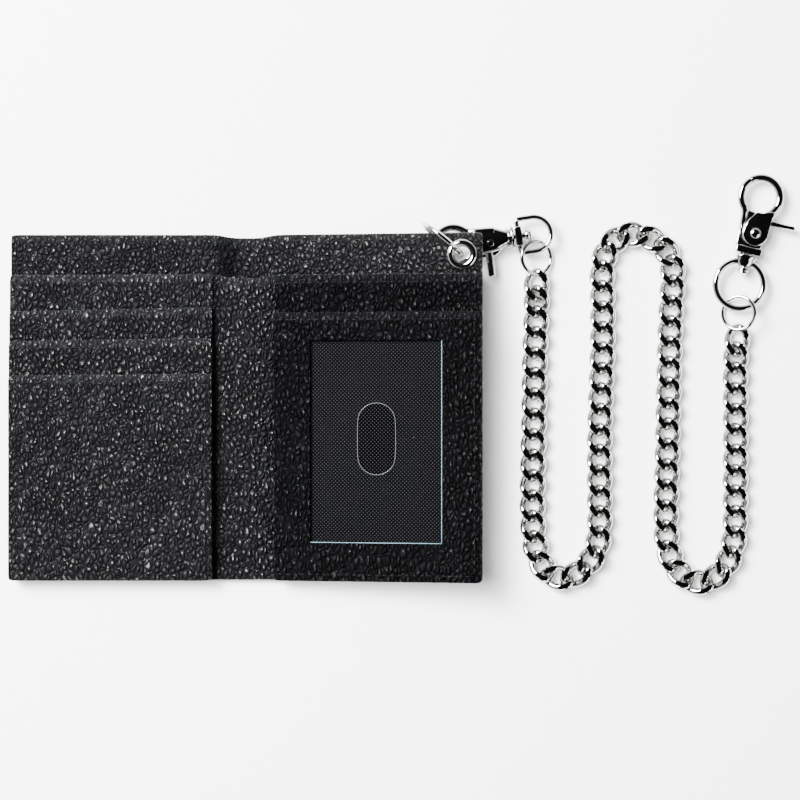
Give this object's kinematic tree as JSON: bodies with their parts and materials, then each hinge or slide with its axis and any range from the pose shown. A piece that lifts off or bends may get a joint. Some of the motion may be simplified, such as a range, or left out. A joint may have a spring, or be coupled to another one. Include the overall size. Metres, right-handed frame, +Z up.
{
  "type": "chain wallet",
  "caption": "Pebbled leather bifold wallet lying open, with stepped card pockets and a window pocket, and a curb chain between two swivel trigger snaps.",
  "frame": {"origin": "under the middle of the open wallet, at the surface that it lies on", "axes": "+X runs across the open wallet towards the chain, +Y towards its top edge, where the notes go in, and +Z up out of the pockets. The left half lies flat and the right half rises 8 degrees to its outer edge, over the snap"},
  "size_m": [0.279, 0.1479, 0.0194],
  "materials": {
    "pebbled_leather": "black, pebbled grain, satin",
    "woven_lining": "black woven nylon",
    "clear_film": "clear vinyl",
    "bright_nickel": "bright nickel plate",
    "spring_steel": "drawn wire"
  },
  "bodies": {
    "right_half": {"spine_cover": "pebbled_leather", "spine_divider": "pebbled_leather", "right_cover": "pebbled_leather", "right_divider": "pebbled_leather", "slip_pocket": "pebbled_leather", "window_lining": "woven_lining", "window_film": "clear_film", "window_frame": "pebbled_leather", "eyelet": "bright_nickel", "eyelet_washer": "bright_nickel"},
    "left_half": {"left_cover": "pebbled_leather", "left_divider": "pebbled_leather", "card_pocket_1": "pebbled_leather", "card_pocket_2": "pebbled_leather", "card_pocket_3": "pebbled_leather", "card_pocket_4": "pebbled_leather"},
    "eyelet_ring": {"eyelet_ring": "bright_nickel"},
    "wallet_snap": {"wallet_snap_body": "bright_nickel", "wallet_snap_rivet": "bright_nickel", "wallet_snap_spring": "spring_steel", "wallet_snap_post": "bright_nickel"},
    "wallet_trigger": {"wallet_snap_trigger": "bright_nickel"},
    "d_ring": {"d_ring": "bright_nickel"},
    "wallet_link_ring": {"wallet_link_ring": "bright_nickel"},
    "chain_run_1": {"chain_run_1": "bright_nickel"},
    "chain_run_2": {"chain_run_2": "bright_nickel"},
    "chain_run_3": {"chain_run_3": "bright_nickel"},
    "chain_run_4": {"chain_run_4": "bright_nickel"},
    "belt_link_ring": {"belt_link_ring": "bright_nickel"},
    "belt_swivel_ring": {"belt_swivel_ring": "bright_nickel"},
    "belt_snap": {"belt_snap_body": "bright_nickel", "belt_snap_rivet": "bright_nickel", "belt_snap_spring": "spring_steel", "belt_snap_post": "bright_nickel"},
    "belt_trigger": {"belt_snap_trigger": "bright_nickel"}
  },
  "joints": [
    {"name": "wallet_fold", "type": "hinge", "parent": "right_half", "child": "left_half", "pos_m": [0, 0, 0.0068], "axis": [0, 1, 0], "range_deg": [0, 172], "deforming": ["spine_cover", "spine_divider"]},
    {"name": "eyelet_ring_turn", "type": "hinge", "parent": "right_half", "child": "eyelet_ring", "pos_m": [0.06968, 0.05911, 0.01], "axis": [0.6239, 0.7815, 0], "continuous": true},
    {"name": "wallet_snap_swing", "type": "hinge", "parent": "right_half", "child": "wallet_snap", "pos_m": [0.0745, 0.0553, 0.0042], "axis": [0, 0, 1], "range_deg": [-3, 40]},
    {"name": "wallet_trigger", "type": "hinge", "parent": "wallet_snap", "child": "wallet_trigger", "pos_m": [0.08687, 0.05805, 0.0042], "axis": [0, 0, 1], "range_deg": [0, 20], "stiffness_Nm_per_rad": 0.05, "springref_deg": -17.19},
    {"name": "wallet_snap_swivel", "type": "hinge", "parent": "wallet_snap", "child": "d_ring", "pos_m": [0.0969, 0.0606, 0.0042], "axis": [-0.9877, -0.1564, 0], "continuous": true},
    {"name": "wallet_link_ring_turn", "type": "hinge", "parent": "d_ring", "child": "wallet_link_ring", "pos_m": [0.1033, 0.0531, 0.0035], "axis": [0.4384, 0, 0.8988], "continuous": true},
    {"name": "chain_start_swing", "type": "hinge", "parent": "d_ring", "child": "chain_run_1", "pos_m": [0.1033, 0.0472, 0.0022], "axis": [0, 0, 1], "range_deg": [-2, 25]},
    {"name": "chain_bend_1", "type": "hinge", "parent": "chain_run_1", "child": "chain_run_2", "pos_m": [0.1119, -0.0614, 0.0022], "axis": [0, 0, -1], "range_deg": [-3, 30]},
    {"name": "chain_bend_2", "type": "hinge", "parent": "chain_run_2", "child": "chain_run_3", "pos_m": [0.1385, 0.0619, 0.0022], "axis": [0, 0, 1], "range_deg": [-3, 30]},
    {"name": "chain_bend_3", "type": "hinge", "parent": "chain_run_3", "child": "chain_run_4", "pos_m": [0.1623, -0.063, 0.0022], "axis": [0, 0, -1], "range_deg": [-3, 30]},
    {"name": "belt_ring_swing", "type": "hinge", "parent": "chain_run_4", "child": "belt_swivel_ring", "pos_m": [0.1752, 0.0275, 0.0022], "axis": [0, 0, 1], "range_deg": [-25, 20]},
    {"name": "belt_link_ring_turn", "type": "hinge", "parent": "belt_swivel_ring", "child": "belt_link_ring", "pos_m": [0.1752, 0.0334, 0.0033], "axis": [-0.4384, 0, 0.8988], "continuous": true},
    {"name": "belt_snap_swivel", "type": "hinge", "parent": "belt_swivel_ring", "child": "belt_snap", "pos_m": [0.1775, 0.0518, 0.0033], "axis": [0.2351, 0.972, 0], "continuous": true},
    {"name": "belt_trigger", "type": "hinge", "parent": "belt_snap", "child": "belt_trigger", "pos_m": [0.18085, 0.06159, 0.0033], "axis": [0, 0, -1], "range_deg": [0, 20], "stiffness_Nm_per_rad": 0.05, "springref_deg": -17.19}
  ]
}
